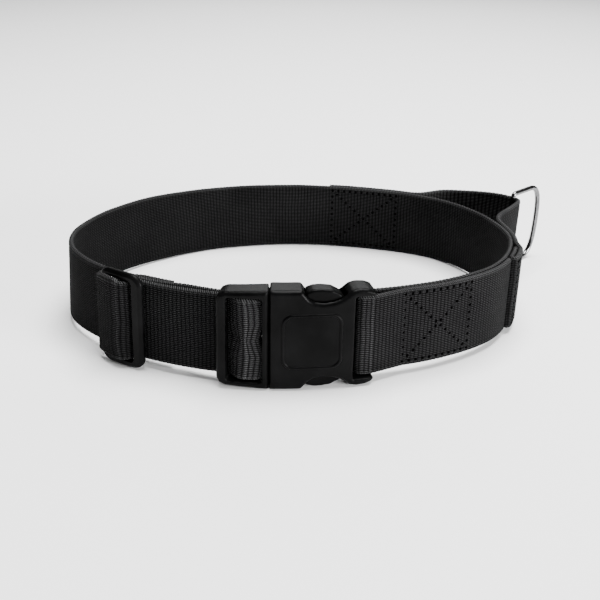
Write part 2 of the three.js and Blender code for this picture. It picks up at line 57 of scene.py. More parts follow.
BUCKLE_SHIFT = 2.5  # how far its middle lies to the right of the loop's front
BUCKLE_LENGTH = 70
BUCKLE_HEIGHT = 49
BUCKLE_COVER = 5.2  # from the webbing's outer face up to the buckle's outer face
MALE_LENGTH = 23  # the part of the length that stays outside the socket
MALE_BAR = 4.5
MALE_MIDDLE_BAR = 3.5
MALE_SLOT = 6
MIDDLE_BAR_THICK = 3
MIDDLE_BAR_SINK = 1.2  # how far that bar lies under the frame's inner face
END_BAR = 4
END_BAR_BACK = 1  # from the ear's end to the end bar
BAR_THICK = 3.4
FOLD_SLACK = 1.7  # how loosely the webbing turns round the prong half's middle bar

SLIDE_PLACE = 48.5  # from the buckle's end to the slide's middle, along the strap
SLIDE_LEFT_BAR = 3
SLIDE_LEFT_THICK = 1.6
SLIDE_MIDDLE_BAR = 3
SLIDE_SLOT = 6.6
SLIDE_BAR_THICK = 3.5
SLIDE_BAR_SINK = 2.2

TAIL_LENGTH = 24  # the turned-back end inside the slide
SAG = 1.6  # how far the inner ply hangs slack between slide and buckle
SETTLE = 30  # the length over which the webbing comes back to the loop's line
HEM_PLACE = 85.5  # from the buckle's end to the handle's front end
HEM_LENGTH = 16
FLANK_LENGTH = 54  # the handle's stretch that lies on the right flank
RING_PLACE = 76  # from the handle's front end to the ring, along the strap
RING_REACH = 26  # the ring bar's distance outside the strap
BOW_LENGTH = 50  # from the ring back to where the handle meets the strap again
BACK_SEAM = 49  # the handle's stretch that is sewn to the back
BOW = 0.74  # how far out the handle still is halfway along its bow
FLANK_BEND = 12  # the handle's bend radii, where it leaves the flank, along its bow and at the back
BOW_BEND = 13
BACK_BEND = 12

RING_HEIGHT = 48
RING_DEPTH = 29.5
RING_WIRE = 3
RING_TURN = 14  # degrees from the way straight out of the strap towards the back
RING_CORNER = 2.1

PLY = WEB_THICK + GAP
REACH = WEB_THICK / 2 + GAP  # from a bar's face to the middle of the webbing on it
INSIDE = -PLY / 2
OUTSIDE = PLY / 2
BAR_FACE = OUTSIDE + REACH
LIFT = (BUCKLE_HEIGHT - WEB_WIDTH) / 2
EDGE_GAP = GAP + 0.45  # clear space between a window's end and the webbing's edge
RING_LIFT = RING_WIRE + EDGE_GAP
FRONT_MIDDLE = LIFT + WEB_WIDTH / 2
BUCKLE_START = BUCKLE_SHIFT - BUCKLE_LENGTH / 2
SEAM = BUCKLE_START + MALE_LENGTH
BUCKLE_END = BUCKLE_START + BUCKLE_LENGTH
BUCKLE_OUT = BAR_FACE + BUCKLE_COVER
SLIDE_MIDDLE = BUCKLE_START - SLIDE_PLACE
HEM = BUCKLE_END + HEM_PLACE
RING_ALONG = HEM + RING_PLACE
BOW_END = RING_ALONG + BOW_LENGTH
MIDDLE_BAR_IN = BAR_FACE - MIDDLE_BAR_SINK
MIDDLE_BAR_OUT = MIDDLE_BAR_IN + MIDDLE_BAR_THICK
SLIDE_BAR_IN = BAR_FACE - SLIDE_BAR_SINK
SLIDE_BAR_OUT = SLIDE_BAR_IN + SLIDE_BAR_THICK
LEFT_BAR_OUT = BAR_FACE + SLIDE_LEFT_THICK
OUTER_FACE = OUTSIDE + WEB_THICK / 2
INNER_FACE = INSIDE - WEB_THICK / 2

# Across and back, as shares of half the loop's width and depth, and the webbing's lean.
LOOP = [
    (0, -0.945, 0.04),
    (0.332, -0.87, 0.03),
    (0.631, -0.715, 0.03),
    (0.85, -0.49, 0.03),
    (0.967, -0.191, 0.02),
    (0.997, 0.097, 0),
    (0.917, 0.521, 0.04),
    (0.738, 0.827, 0.06),
    (0.432, 0.998, 0.03),
    (0, 1.07, 0),
    (-0.428, 0.958, -0.05),
    (-0.702, 0.745, -0.08),
    (-0.892, 0.455, -0.02),
    (-1.014, 0.036, 0.08),
    (-0.972, -0.31, 0.09),
    (-0.784, -0.612, 0.06),
    (-0.532, -0.82, 0.05),
    (-0.258, -0.93, 0.05),
]
GUIDE_STEPS = 300  # between two of the rows above


def loop_line():
    """The loop's middle line as dense plan points, with the length along it."""
    knots = np.array([(a * LOOP_WIDTH / 2, b * LOOP_DEPTH / 2) for a, b, _ in LOOP])
    t = np.linspace(0, 1, GUIDE_STEPS, endpoint=False)[:, None]
    rows = []
    for k in range(len(knots)):
        p, q, r, s = (knots[(k + j) % len(knots)] for j in (-1, 0, 1, 2))
        a, b, c = (math.sqrt(np.linalg.norm(v)) for v in (q - p, r - q, s - r))
        enter = ((q - p) / a - (r - p) / (a + b) + (r - q) / b) * b
        leave = ((r - q) / b - (s - q) / (b + c) + (s - r) / c) * b
        square = -3 * q + 3 * r - 2 * enter - leave
        cube = 2 * q - 2 * r + enter + leave
        rows.append(q + enter * t + square * t**2 + cube * t**3)
    line = np.concatenate(rows + [knots[:1]])
    steps = np.linalg.norm(np.diff(line, axis=0), axis=1)
    return line, np.concatenate([[0], np.cumsum(steps)])


GUIDE, GUIDE_AT = loop_line()
LENGTH = GUIDE_AT[-1]
GUIDE_WAY = np.gradient(GUIDE, axis=0)
GUIDE_WAY[[0, -1]] = GUIDE[1] - GUIDE[-2]
GUIDE_WAY /= np.linalg.norm(GUIDE_WAY, axis=1)[:, None]


def spot(along, out):
    """Plan points that lie `along` the loop from its front and `out` from its middle line."""
    at = np.mod(along, LENGTH)
    place = [np.interp(at, GUIDE_AT, GUIDE[:, k]) for k in (0, 1)]
    way = [np.interp(at, GUIDE_AT, GUIDE_WAY[:, k]) for k in (0, 1)]
    return np.stack([place[0] + way[1] * out, place[1] - way[0] * out], -1)


def lift(y):
    """How high the webbing's lower edge stands at this depth of the plan."""
    level = LEVEL_FROM * LOOP_DEPTH / 2
    front = -RAISED_TO * LOOP_DEPTH / 2
    return LIFT * np.clip((level - y) / (level - front), 0, 1)


def smooth(share):
    """An even start and stop between 0 and 1."""
    share = np.clip(share, 0, 1)
    return share * share * (3 - 2 * share)


BEARINGS = np.array([math.atan2(a, -b) for a, b, _ in LOOP])
ORDER = np.argsort(BEARINGS)


def lean_at(x, y):
    """The lean at plan points, from the loop's rows on either side of their bearing."""
    here = np.arctan2(2 * x / LOOP_WIDTH, -2 * y / LOOP_DEPTH)
    bearings = BEARINGS[ORDER]
    leans = np.array([row[2] for row in LOOP])[ORDER]
    after = np.searchsorted(bearings, here, side="right")
    b = after % len(LOOP)
    a = (after - 1) % len(LOOP)
    turn = 2 * math.pi
    share = np.mod(here - bearings[a], turn) / np.mod(bearings[b] - bearings[a], turn)
    return leans[a] + (leans[b] - leans[a]) * smooth(share)


# The ring's bar is in the CAD model's hinge and in this plan, so it says where the loop lies.
RING_BAR = spot(RING_ALONG, RING_REACH)
HINGE = Vector(frame["joints"][0]["pos_m"])
SHIFT = np.array([HINGE.x / MM - RING_BAR[0], HINGE.y / MM - RING_BAR[1]])
RING_HOLD = 0.1  # the share of the bow's length round the ring that keeps the ring's height


def near_ring(x, y):
    """1 at the ring's bar, and 0 from the bow's length away."""
    away = np.hypot(x - RING_BAR[0], y - RING_BAR[1]) / BOW_LENGTH
    return 1 - smooth((away - RING_HOLD) / (1 - RING_HOLD))


def settle(plan, up, handle=False):
    """Points in the row frame, in metres, from plan points and heights over the webbing's edge."""
    x, y = plan[..., 0], plan[..., 1]
    near = near_ring(x, y) if handle else np.zeros_like(x)
    raised = lift(y) * (1 - near) + RING_LIFT * near
    way = np.stack([x / LOOP_WIDTH, y / LOOP_DEPTH], -1)
    way /= np.linalg.norm(way, axis=-1)[..., None]
    low = lift(y) + WEB_WIDTH / 2 - raised - up
    push = low * lean_at(x, y) * (1 - near)
    moved = plan + way * push[..., None] + SHIFT
    return np.stack([moved[..., 0], moved[..., 1], raised + up], -1) * MM


# Straps


def turned(v, angle):
    c, s = math.cos(angle), math.sin(angle)
    return np.array([c * v[0] - s * v[1], s * v[0] + c * v[1]])


ARC_STEP = 0.15  # radians
SOFTENING = 3  # square millimetres: the more, the softer a strap's corners


def belt(pegs):
    """A belt's line round pegs of (along, out, turn); a turn is the radius kept from the peg."""
    sides = []
    for (a, b, r), (c, d, s) in zip(pegs, pegs[1:]):
        way = np.array([c - a, d - b], float)
        far = np.linalg.norm(way)
        sides.append(turned(way / far, math.acos((s - r) / far)))
    line = []
    for i, (along, out, turn) in enumerate(pegs):
        arrive = sides[max(i - 1, 0)]
        leave = sides[min(i, len(sides) - 1)]
        cross = arrive[0] * leave[1] - arrive[1] * leave[0]
        swing = math.atan2(cross, float(arrive @ leave))
        if turn * swing < 0:
            swing += math.copysign(2 * math.pi, turn)
        steps = max(1, math.ceil(abs(swing) / ARC_STEP)) if turn else 0
        for k in range(steps + 1):
            line.append(np.array([along, out]) - turn * turned(arrive, swing * k / (steps or 1)))
    return np.array(line)


def evened(line, step):
    """A line cut into even steps, with its corners softened."""
    far = np.concatenate([[0], np.cumsum(np.linalg.norm(np.diff(line, axis=0), axis=1))])
    at = np.linspace(0, far[-1], math.ceil(far[-1] / step) + 1)
    line = np.stack([np.interp(at, far, line[:, k]) for k in (0, 1)], -1)
    for _ in range(round(SOFTENING / step**2)):
        line[1:-1] += (line[:-2] + line[2:] - 2 * line[1:-1]) / 4
    return line


STEP = 0.5  # between two sections of a strap
RIB = 2.0  # from one rib of the weave to the next
BEAD = 0.95  # from one row of yarn to the next
EDGE = 2.6  # the selvedge's width
RIB_SWELL = 0.03  # how far a rib stands out of a face
EDGE_SWELL = 0.1  # the same on a selvedge, as a share of the thickness
EDGE_RISE = 0.1  # how far a rib stands out of an edge
LOWER_RISE = 0.04  # the same at the lower edge, which stays on the floor
SWAY = 0.075  # how far the edges wander
SWAY_REACH = (7.3, 17.1)
ROUND = 41.37  # half the section's outline
EDGE_TURN = 1.885  # from the lower edge's middle to the section's first point, round the edge


def section():
    """The webbing's outline as (out, up), once round, with a groove beside each selvedge."""
    half = WEB_THICK / 2
    face = [(half, half), (half, 1.9), (0.86 * half, EDGE), (0.95 * half, 3.2), (half, 4.5)]
    face += [(half, 12), (half, 20), (half, 28)]
    face += [(o, WEB_WIDTH - u) for o, u in reversed(face[:5])]
    turns = [math.pi * k / 6 for k in range(1, 6)]
    top = [(half * math.cos(a), WEB_WIDTH - half + half * math.sin(a)) for a in turns]
    outer = face + top
    inner = [(-o, WEB_WIDTH - u) for o, u in outer]
    return np.array(outer + inner)


def hump(value, middle, reach):
    return np.exp(-(((value - middle) / reach) ** 2))


# The strap's fold in the prong half's window bulges towards the socket, but for a pinch.
WINDOW_LEFT = BUCKLE_START + MALE_BAR
BULGE = 2.3
EDGE_HOLD = 0.6  # the share of the bulge that the webbing's edges hold back
LOWER_HOLD = 5  # how far up from the lower edge they do
UPPER_HOLD = 7  # how far down from the upper edge
PINCH_HEIGHT = 21
PINCH_REACH = 3.4
PINCH_DEPTH = 3.0  # how far the pinch draws the window's left side along
RIPPLE, RIPPLE_REACH = 0.25, 1.7
# The patch of strap at the slide is a little wavy, in waves of (depth, reach, phase).
PATCH_WAVES = ((0.45, 3.1, 1), (0.3, 1.3, 0))
PATCH_REACH = 4


def crept(along, out, up):
    """How far the soft folds in the two windows creep along at this height, in millimetres."""
    right = WINDOW_LEFT + MALE_SLOT + MALE_MIDDLE_BAR + FOLD_SLACK
    share = smooth((along - WINDOW_LEFT - 1) / (right - WINDOW_LEFT - 1))
    enter = smooth((along - WINDOW_LEFT + 2) / 3)
    outer = smooth((out - OUTSIDE) / PLY)
    pinch = hump(up, PINCH_HEIGHT, PINCH_REACH)
    ends = hump(up, 0, LOWER_HOLD) + hump(up, WEB_WIDTH, UPPER_HOLD)
    bulge = BULGE * (1 - pinch) * (1 - EDGE_HOLD * ends)
    bulge += RIPPLE * math.sin(up / RIPPLE_REACH)
    creep = share * bulge + (1 - share) * enter * outer * PINCH_DEPTH * pinch
    edge = SLIDE_MIDDLE + SLIDE_MIDDLE_BAR / 2
    wave = sum(depth * math.sin(up / reach + phase) for depth, reach, phase in PATCH_WAVES)
    return creep + hump(along, edge - 1, PATCH_REACH) * outer * wave


FOLD_PAINTED_LIGHT = 0.45  # painted light: how much paler all of the fold in the window is, against its recess's shade
# Bands of painted light or, below nought, painted shade across the main strap, as (place, reach,
# strength): two painted highlights on that fold, one on the right edge of the patch at the slide,
# and the rest.
FOLD_PAINTED_HIGHLIGHTS = ((WINDOW_LEFT + 7.6, 0.5, 0.9), (WINDOW_LEFT + 8.9, 0.3, 0.63))
# A painted highlight on the patch's right edge, where the strap turns over the slide's middle bar.
PATCH_PAINTED_HIGHLIGHT = ((SLIDE_MIDDLE + 1.2, 0.6, 0.9),)
END_FOLD = BUCKLE_END - LENGTH - END_BAR_BACK - END_BAR
PAINTED_LIGHT_BANDS = (
    # painted highlights on the fold at the socket's end bar and on the line beside it
    (END_FOLD, 2.5, 0.4),
    (END_FOLD + 3.2, 0.35, 0.8),
    (SLIDE_MIDDLE - SLIDE_SLOT - 7, 2.2, -0.4),  # painted shade left of the slide
    (-LENGTH * 0.29, LENGTH / 5, -0.2),  # painted shade on the left flank
)
LEAST_PAINTED_LIGHT, MOST_PAINTED_LIGHT = -0.5, 1.5


def banded(along, bands):
    return sum(strength * hump(along, place, reach) for place, reach, strength in bands)


def painted_light_and_shade(along, out):
    """Painted light and shade on the main strap: paler on its folds, darker left of the slide and
    on the left flank.
    """
    shown = smooth((along - WINDOW_LEFT) / 3) * (FOLD_PAINTED_LIGHT + banded(along, FOLD_PAINTED_HIGHLIGHTS))
    edge = banded(along, PATCH_PAINTED_HIGHLIGHT) * smooth((out - BAR_FACE) / 2)
    return np.clip(shown + edge + banded(along, PAINTED_LIGHT_BANDS), LEAST_PAINTED_LIGHT, MOST_PAINTED_LIGHT)


# Where the main strap goes over the slide's left bar, its upper edge is raised to fill the window.
OVER_PLACE = 4  # to the left of the slide's middle
OVER_HALF = 7
OVER_EASE = 3
OVER_RISE = 1.5
# The handle strap is painted paler along its bow: painted light against the shade inside it.
BOW_PAINTED_LIGHT = 0.35
BOW_PAINTED_LIGHT_PLACE = RING_ALONG + BOW_LENGTH / 2
BOW_PAINTED_LIGHT_REACH = 25


def strap(name, pegs, handle=False):
    """A webbing strap round its pegs, with its weave's coordinates and its painted light and shade.
    """
    line = evened(belt(pegs), STEP)
    along, level = line[:, 0], line[:, 1]
    plan = spot(along, level)
    way = np.gradient(plan, axis=0)
    way /= np.linalg.norm(way, axis=1)[:, None]
    side = np.stack([way[:, 1], -way[:, 0]], -1)
    ring = section()
    run = np.arange(len(plan)) * STEP
    ribs = np.cos(2 * math.pi * run / RIB)
    sway = SWAY * np.sin(run / SWAY_REACH[0]) * np.sin(run / SWAY_REACH[1] + 1)
    verts = []
    for out, up in ring:
        near_edge = smooth((abs(up - WEB_WIDTH / 2) - WEB_WIDTH / 2 + EDGE) / EDGE)
        swell = RIB_SWELL * ribs * math.copysign(1, out)
        swell += EDGE_SWELL * ribs * near_edge * out / WEB_THICK
        rise = (EDGE_RISE * near_edge * ribs + sway) * math.copysign(1, up - WEB_WIDTH / 2)
        if up < WEB_WIDTH / 2:
            rise = np.maximum(rise, LOWER_RISE * ribs * near_edge)
        elif not handle:
            away = abs(along - SLIDE_MIDDLE + OVER_PLACE)
            over = smooth((OVER_HALF - away) / OVER_EASE) * smooth((level - INSIDE) / PLY)
            rise = rise * (1 - over) + OVER_RISE * over * near_edge
        here = plan if handle else spot(along + crept(along, level, up), level)
        verts.append(settle(here + side * (out + swell)[:, None], up + rise, handle))
    verts = np.stack(verts, 1)
    count, around = verts.shape[:2]
    faces, uvs = [], []
    hops = np.linalg.norm(np.diff(np.vstack([ring, ring[:1]]), axis=0), axis=1)
    perimeter = np.concatenate([[0], np.cumsum(hops)]) + EDGE_TURN
    for i in range(count - 1):
        u, w = run[i], run[i + 1]
        row, after = i * around, (i + 1) * around
        for j in range(around):
            k = (j + 1) % around
            faces.append((row + j, after + j, after + k, row + k))
            low, high = perimeter[j], perimeter[j + 1]
            uvs += [(u, low), (w, low), (w, high), (u, high)]
    for i, flip in ((0, False), (count - 1, True)):
        order = range(around)[::-1] if flip else range(around)
        faces.append(tuple(i * around + j for j in order))
        uvs += [tuple(ring[j]) for j in order]
    obj = made(name, verts.reshape(-1, 3), faces, uvs)
    # Painted light and shade, stored as a point attribute for the material.
    if handle:
        pale = BOW_PAINTED_LIGHT * hump(along, BOW_PAINTED_LIGHT_PLACE, BOW_PAINTED_LIGHT_REACH)
    else:
        pale = painted_light_and_shade(along, level)
    painted_light_shade = obj.data.attributes.new("painted_light_shade", "FLOAT", "POINT")
    painted_light_shade.data.foreach_set("value", np.repeat(pale, around).astype(np.float32))
    return obj


def made(name, verts, faces, uvs=None):
    """A smooth-shaded object with its faces turned outwards."""
    mesh = bpy.data.meshes.new(name)
    mesh.from_pydata([tuple(v) for v in verts], [], faces)
    if uvs:
        layer = mesh.uv_layers.new(name="weave")
        layer.data.foreach_set("uv", np.array(uvs, np.float32).ravel())
    flip = bmesh.new()
    flip.from_mesh(mesh)
    bmesh.ops.recalc_face_normals(flip, faces=flip.faces)
    flip.to_mesh(mesh)
    flip.free()
    mesh.shade_smooth()
    obj = bpy.data.objects.new(name, mesh)
    bpy.context.scene.collection.objects.link(obj)
    return obj


def main_pegs():
    """The pegs that the main strap passes, from its tail in the slide to its doubled end."""
    s, start = SLIDE_MIDDLE, BUCKLE_START
    half = SLIDE_MIDDLE_BAR / 2
    slot = half + SLIDE_SLOT
    turn = REACH + PLY
    male_bar = start + MALE_BAR + MALE_SLOT
    fold = (MIDDLE_BAR_IN + MIDDLE_BAR_OUT) / 2
    last = BUCKLE_END - LENGTH
    end = BAR_THICK / 2
    return [
        (s + TAIL_LENGTH, INSIDE - PLY, 0),
        (s + slot, INSIDE - PLY + turn, -turn),
        (s - half, SLIDE_BAR_IN, -REACH),
        (s - half, SLIDE_BAR_OUT, -REACH),
        (s + half, SLIDE_BAR_OUT, -REACH),
        (s + slot, BAR_FACE, turn),
        ((s + start) / 2 + SLIDE_SLOT, INSIDE - SAG, 0),
        (start, INSIDE, 0),
        (male_bar, MIDDLE_BAR_IN - REACH, 0),
        (male_bar + MALE_MIDDLE_BAR + FOLD_SLACK, fold, MIDDLE_BAR_OUT - fold + REACH),
        (male_bar, MIDDLE_BAR_OUT, REACH),
        (start + MALE_BAR, BAR_FACE, -REACH),
        (s + slot, BAR_FACE, -REACH),
        (s + half, SLIDE_BAR_OUT, turn),
        (s - half, SLIDE_BAR_OUT, turn),
        (s - slot - SLIDE_LEFT_BAR, LEFT_BAR_OUT, REACH),
        (s - slot - SLIDE_LEFT_BAR - 2 * REACH - GAP, INSIDE + REACH, -REACH),
        (last + SETTLE / 2, INSIDE, 0),
        (last - END_BAR_BACK - END_BAR, end, -end - REACH),
        (last - END_BAR_BACK, BAR_THICK, -REACH),
        (last + SETTLE / 2, OUTSIDE, 0),
        (last + HEM_PLACE - 5 * GAP, OUTSIDE, 0),
    ]


def handle_pegs():
    """The pegs that the handle strap passes, from its hem's inner ply to its end at the back."""
    fold = RING_WIRE / 2 + REACH
    high = BOW * RING_REACH
    return [
        (HEM + HEM_LENGTH, OUTSIDE, 0),
        (HEM + WEB_THICK, OUTSIDE + PLY / 2, -PLY / 2),
        (HEM + HEM_LENGTH + 2 * GAP, OUTSIDE + PLY, 0),
        (HEM + HEM_LENGTH + 3 * PLY, OUTSIDE, 0),
        (HEM + FLANK_LENGTH, OUTSIDE + FLANK_BEND, FLANK_BEND),
        (RING_ALONG, RING_REACH, -fold),
        (RING_ALONG + 0.5 * BOW_LENGTH, high - BOW_BEND, -BOW_BEND),
        (BOW_END, OUTSIDE + BACK_BEND, BACK_BEND),
        (BOW_END + BACK_SEAM, OUTSIDE, 0),
    ]


def tube(name, points, radius, sides, closed=False, taper=None):
    """A round bar along 3-D points in metres; taper gives its radius as a share at each point."""
    points = [Vector(p) for p in points]
    n = len(points)
    verts, faces = [], []
    normal = None
    for i, p in enumerate(points):
        a = points[i - 1] if i or closed else p
        b = points[(i + 1) % n] if i < n - 1 or closed else p
        way = (b - a).normalized()
        if normal is None:
            normal = way.orthogonal().normalized()
        normal = (normal - way * normal.dot(way)).normalized()
        cross = way.cross(normal)
        r = radius * (taper[i] if taper else 1)
        for k in range(sides):
            angle = 2 * math.pi * k / sides
            verts.append(p + (normal * math.cos(angle) + cross * math.sin(angle)) * r)
    for i in range(n if closed else n - 1):
        for k in range(sides):
            j, m = (i + 1) % n, (k + 1) % sides
            faces.append((i * sides + k, i * sides + m, j * sides + m, j * sides + k))
    if not closed:
        faces.append(tuple(range(sides))[::-1])
        faces.append(tuple((n - 1) * sides + k for k in range(sides)))
    return made(name, verts, faces)


# Sewing


def on_web(along, up, out):
    """A point on the webbing, in metres."""
    return Vector(settle(spot(np.array(along, float), np.array(out, float)), np.array(up, float)))


PITCH = 3.7  # the length of a stitch, about
THREAD = 0.38  # its radius
THREAD_SIDES = 8
THREAD_DEPTH = 0.38  # how far under the face a stitch's ends lie
THREAD_ARCH = 0.3  # how far its middle stands over them
# A stitch's points, as shares of its length, and how thick it is at each.
STITCH_PLACES = (0.06, 0.2, 0.4, 0.6, 0.8, 0.94)
STITCH_TAPER = (0.45, 0.85, 1, 1, 0.85, 0.45)
# Each needle hole is a near-black flattened disc: painted shade for the hole's dimple.
HOLE = 0.82
HOLE_FLAT = 0.4
HOLE_SINK = 0.08


def hole_place(along, up, out, way):
    """Where a needle hole's disc of painted shade lies: sunk a little in the face, and flat along
    it.
    """
    at = on_web(along, up, out - HOLE_SINK * way)
    turn = (on_web(along, up, out + way) - at).to_track_quat("Z", "Y").to_matrix().to_4x4()
    return Matrix.Translation(at) @ turn @ Matrix.Diagonal((1, 1, HOLE_FLAT, 1))


def sewn(lines, out, inward):
    """Stitches along straight lines in (along, up) on the face at `out`, and their needle holes of
    painted shade.
    """
    stitches, holes = [], []
    way = -1 if inward else 1
    for (a, b), (c, d) in lines:
        far = math.hypot(c - a, d - b)
        count = max(1, round(far / PITCH))
        for k in range(count):
            row = []
            for t in STITCH_PLACES:
                share = (k + t) / count
                high = (THREAD_ARCH * math.sin(math.pi * t) - THREAD_DEPTH) * way
                row.append(on_web(a + (c - a) * share, b + (d - b) * share, out + high))
            stitches.append(row)
            share = k / count
            holes.append(hole_place(a + (c - a) * share, b + (d - b) * share, out, way))
        holes.append(hole_place(c, d, out, way))
    return stitches, holes


def box_lines(left, right, low, high):
    """A sewn box with a cross in it, as lines in (along, up)."""
    return [
        ((left, low), (left, high)),
        ((left, high), (right, low)),
        ((right, low), (right, high)),
        ((right, high), (left, low)),
        ((left, low), (right, low)),
        ((left, high), (right, high)),
    ]


def sewing(name, groups):
    """One mesh of stitches and one of needle holes of painted shade, from (lines, out, inward)
    groups.
    """
    threads, spots = bmesh.new(), bmesh.new()
    for lines, out, inward in groups:
        stitches, holes = sewn(lines, out, inward)
        for row in stitches:
            piece = tube("stitch", row, THREAD * MM, THREAD_SIDES, taper=STITCH_TAPER)
            threads.from_mesh(piece.data)
            bpy.data.objects.remove(piece)
        for place in holes:
            bmesh.ops.create_icosphere(spots, subdivisions=2, radius=HOLE * MM, matrix=place)
    pieces = []
    for mesh_name, source in ((name + "_thread", threads), (name + "_hole_shades", spots)):
        mesh = bpy.data.meshes.new(mesh_name)
        source.to_mesh(mesh)
        source.free()
        mesh.shade_smooth()
        obj = bpy.data.objects.new(mesh_name, mesh)
        bpy.context.scene.collection.objects.link(obj)
        pieces.append(obj)
    return pieces


# Moulded pieces and the ring


EASE = 0.5  # how far each smoothing pass goes


def rounded(node, name, voxel, passes):
    """A CAD node's shape with its edges rounded off, as moulding leaves them."""
    source = frame["nodes"][node]
    obj = bpy.data.objects.new(name, source.data.copy())
    bpy.context.scene.collection.objects.link(obj)
    obj.matrix_world = source.matrix_world.copy()
    remesh = obj.modifiers.new("remesh", "REMESH")
    remesh.mode = "VOXEL"
    remesh.voxel_size = voxel * MM
    ease = obj.modifiers.new("ease", "SMOOTH")
    ease.factor = EASE
    ease.iterations = passes
    bpy.context.view_layer.update()
    shown = obj.evaluated_get(bpy.context.evaluated_depsgraph_get())
    mesh = bpy.data.meshes.new_from_object(shown)
    obj.modifiers.clear()
    obj.data = mesh
    mesh.materials.clear()
    mesh.shade_smooth()
    return obj


def on_buckle(along, high, out):
    """A point on the buckle, `high` over its middle, in metres."""
    plan = spot(np.array(along, float), np.array(out, float))
    up = FRONT_MIDDLE - lift(plan[1]) + high
    return Vector(settle(plan, np.array(up)))


CORNER_STEPS = 8


def rounded_square(left, right, low, high, corner):
    points = []
    for x, y, start in ((right, high, 0), (left, high, 90), (left, low, 180), (right, low, 270)):
        cx = x - corner if x == right else x + corner
        cy = y - corner if y == high else y + corner
        for k in range(CORNER_STEPS + 1):
            angle = math.radians(start + 90 * k / CORNER_STEPS)
            points.append((cx + corner * math.cos(angle), cy + corner * math.sin(angle)))
    return points


def filled(points, step):
    """Closed outline points with more added along the straight runs."""
    dense = []
    for (a, b), (c, d) in zip(points, points[1:] + points[:1]):
        count = max(1, math.ceil(math.hypot(c - a, d - b) / step))
        dense += [(a + (c - a) * k / count, b + (d - b) * k / count) for k in range(count)]
    return dense


PANEL_START, PANEL_END = 6, 31  # from the seam
PANEL_HALF = 13
PANEL_CORNER = 4.5
PANEL_STEP = 1.5
RIM = 0.8  # the raised line's radius
RIM_SINK = 0.25
RIM_SIDES = 16


def panel_rim():
    """The framed panel on the socket's face: a thin raised line round a rounded square."""
    left, right = SEAM + PANEL_START, SEAM + PANEL_END
    square = rounded_square(left, right, -PANEL_HALF, PANEL_HALF, PANEL_CORNER)
    outline = filled(square, PANEL_STEP)
    points = [on_buckle(a, h, BUCKLE_OUT - RIM_SINK) for a, h in outline]
    return tube("panel_rim", points, RIM * MM, RIM_SIDES, closed=True)


RING_BEND = 0.82  # the bow's depth, as a share of half the ring's height
RING_EARLY = 0.6  # the share of that depth at which the bow starts
RING_FULL = 0.1  # the two shares that shape its curve
RING_FLAT = 0.62
RING_STEPS = 24
RING_SIDES = 20


def ring_shape():
    """The D-ring, drawn in its own plane and turned about its straight bar."""
    r = RING_WIRE / 2
    half = RING_HEIGHT / 2 - r
    depth = RING_DEPTH - r
    bend = half * RING_BEND
    start = depth - bend * RING_EARLY
    corners = [
        ((0, 0), (0, half - RING_CORNER)),
        ((0, half - RING_CORNER), (0, half), (RING_CORNER, half)),
        ((RING_CORNER, half), (start, half)),
        ((start, half), (depth - bend * RING_FULL, half), (depth, half * RING_FLAT), (depth, 0)),
    ]
    upper = []
    for run in corners:
        run = [np.array(p, float) for p in run]
        for k in range(RING_STEPS):
            rows, t = run, k / RING_STEPS
            while len(rows) > 1:
                rows = [p + (q - p) * t for p, q in zip(rows, rows[1:])]
            upper.append(rows[0])
    upper.append(np.array([depth, 0.0]))
    lower = [np.array([p[0], -p[1]]) for p in reversed(upper[1:-1])]
    base = spot(RING_ALONG, 0)
    straight = math.atan2(RING_BAR[1] - base[1], RING_BAR[0] - base[0])
    angle = straight + math.radians(RING_TURN)
    points = []
    for out, up in upper + lower:
        x = HINGE.x + out * MM * math.cos(angle)
        y = HINGE.y + out * MM * math.sin(angle)
        points.append((x, y, HINGE.z + up * MM))
    return tube("d_ring_wire", points, r * MM, RING_SIDES, closed=True)


# Materials


def material(name):
    """A new material, with its nodes, its links and its shader."""
    mat = bpy.data.materials.new(name)
    mat.use_nodes = True
    return mat, mat.node_tree.nodes, mat.node_tree.links, mat.node_tree.nodes["Principled BSDF"]


def math_node(nodes, links, kind, a, b=None, c=None):
    node = nodes.new("ShaderNodeMath")
    node.operation = kind
    for socket, value in zip(node.inputs, (a, b, c)):
        if value is None:
            continue
        if isinstance(value, (int, float)):
            socket.default_value = value
        else:
            links.new(value, socket)
    return node.outputs[0]


def noise(nodes, links, scale, detail):
    node = nodes.new("ShaderNodeTexNoise")
    node.inputs["Scale"].default_value = scale
    node.inputs["Detail"].default_value = detail
    coords = nodes.new("ShaderNodeTexCoord")
    links.new(coords.outputs["Object"], node.inputs["Vector"])
    return node.outputs["Fac"]


def roughened(nodes, links, shader, fac, least, span):
    rough = math_node(nodes, links, "MULTIPLY_ADD", fac, span, least)
    links.new(rough, shader.inputs["Roughness"])


def bump(nodes, links, shader, height, distance, strength):
    node = nodes.new("ShaderNodeBump")
    node.inputs["Distance"].default_value = distance
    node.inputs["Strength"].default_value = strength
    links.new(height, node.inputs["Height"])
    links.new(node.outputs["Normal"], shader.inputs["Normal"])


def ramp(nodes, links, fac, dark, light, low=0.0, high=1.0):
    node = nodes.new("ShaderNodeValToRGB")
    node.color_ramp.elements[0].position = low
    node.color_ramp.elements[0].color = (*dark, 1)
    node.color_ramp.elements[1].position = high
    node.color_ramp.elements[1].color = (*light, 1)
    links.new(fac, node.inputs["Fac"])
    return node.outputs["Color"]


DARK_YARN = (0.0004, 0.0004, 0.00043)
PALE_YARN = (0.125, 0.125, 0.127)
WANDER_ALONG = 1.2  # how far the pattern wanders, in millimetres
WANDER_ACROSS = 0.6
RIB_POWER = 0.35  # the less, the flatter a rib's top
BEAD_POWER = 1.5
BEAD_LEAST = 0.08  # the height between two beads
ROPE_PITCH = 1.0
ROPE_SLANT = 0.5
SELVEDGE_EASE = 0.3
# painted light: how much paler the selvedges are
SELVEDGE_PAINTED_LIGHT = 1.3
# how strongly the strap's painted light and shade shows
PAINTED_LIGHT_GAIN = 1.8
